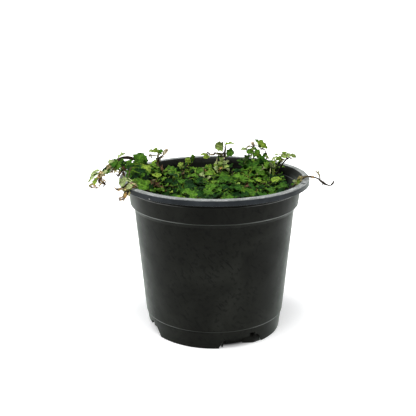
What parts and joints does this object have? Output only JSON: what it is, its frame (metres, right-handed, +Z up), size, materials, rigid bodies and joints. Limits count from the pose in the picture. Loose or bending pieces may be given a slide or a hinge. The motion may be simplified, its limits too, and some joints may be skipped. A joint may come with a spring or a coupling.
{
  "type": "potted creeping fig",
  "caption": "Potted oakleaf creeping fig: small lobed leaves on creeping stems fill a dark nursery pot, with sprigs at the back and stems trailing over both sides.",
  "frame": {"origin": "On the floor under the middle of the part's box. The pot stands with its axis on the origin, to within 0.1 mm.", "axes": "+Z up, -Y the front as pictured, +X to the viewer's right"},
  "size_m": [0.1997, 0.155, 0.1485],
  "materials": {
    "black_plastic": "satin",
    "potting_soil": "rough, loose and moist",
    "leaf_green": "satin"
  },
  "bodies": {
    "root": {"nursery_pot": "black_plastic", "potting_soil": "potting_soil", "creeping_clump_1": "leaf_green", "creeping_clump_2": "leaf_green", "creeping_clump_3": "leaf_green", "creeping_clump_4": "leaf_green", "creeping_clump_5": "leaf_green", "creeping_clump_6": "leaf_green", "creeping_clump_7": "leaf_green", "trailing_stem_upper": "leaf_green", "trailing_stem_lower": "leaf_green", "upright_sprig_1": "leaf_green", "upright_sprig_2": "leaf_green", "upright_sprig_3": "leaf_green", "upright_sprig_4": "leaf_green", "bare_twig": "leaf_green"}
  },
  "joints": []
}
